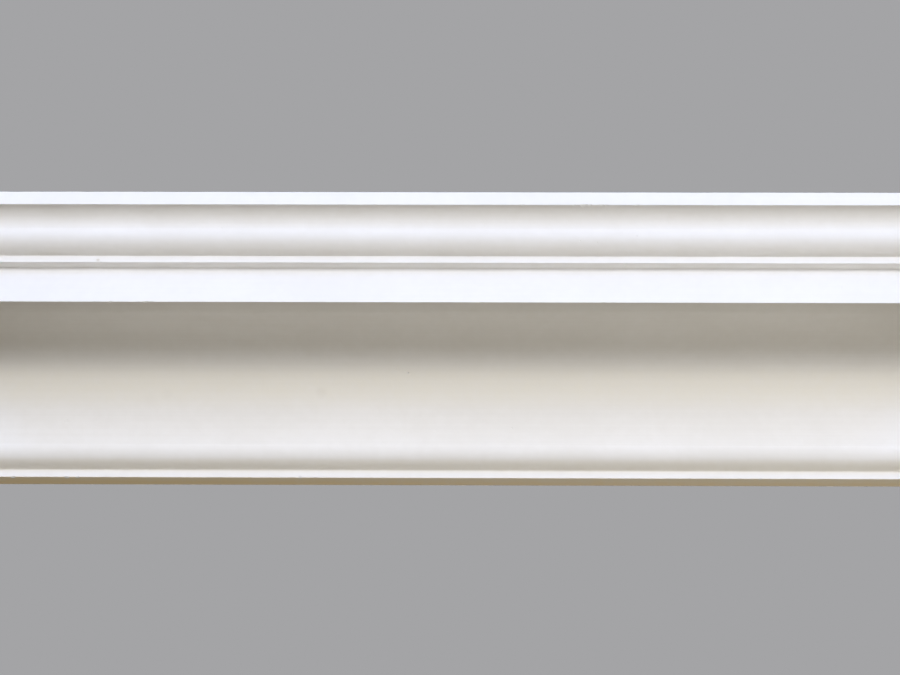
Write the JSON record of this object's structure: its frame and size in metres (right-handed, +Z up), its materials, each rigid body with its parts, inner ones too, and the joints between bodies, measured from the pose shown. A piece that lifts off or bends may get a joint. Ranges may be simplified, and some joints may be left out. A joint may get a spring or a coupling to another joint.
{
  "type": "crown moulding length",
  "caption": "Cast plaster cornice length with a hollow and round top member, a flat fascia, a large cove and a small nose, flat back, ends cut square.",
  "frame": {"origin": "middle of the flat face that beds on the wall, halfway along the length", "axes": "+X along the length, +Y into the wall, +Z up to the ceiling; the moulded face looks along -Y and down"},
  "size_m": [0.52, 0.1156, 0.12],
  "materials": {
    "plaster": "matt white cast gypsum plaster, lightly nicked at the arrises"
  },
  "bodies": {
    "root": {"crown_moulding_length": "plaster"}
  },
  "joints": []
}
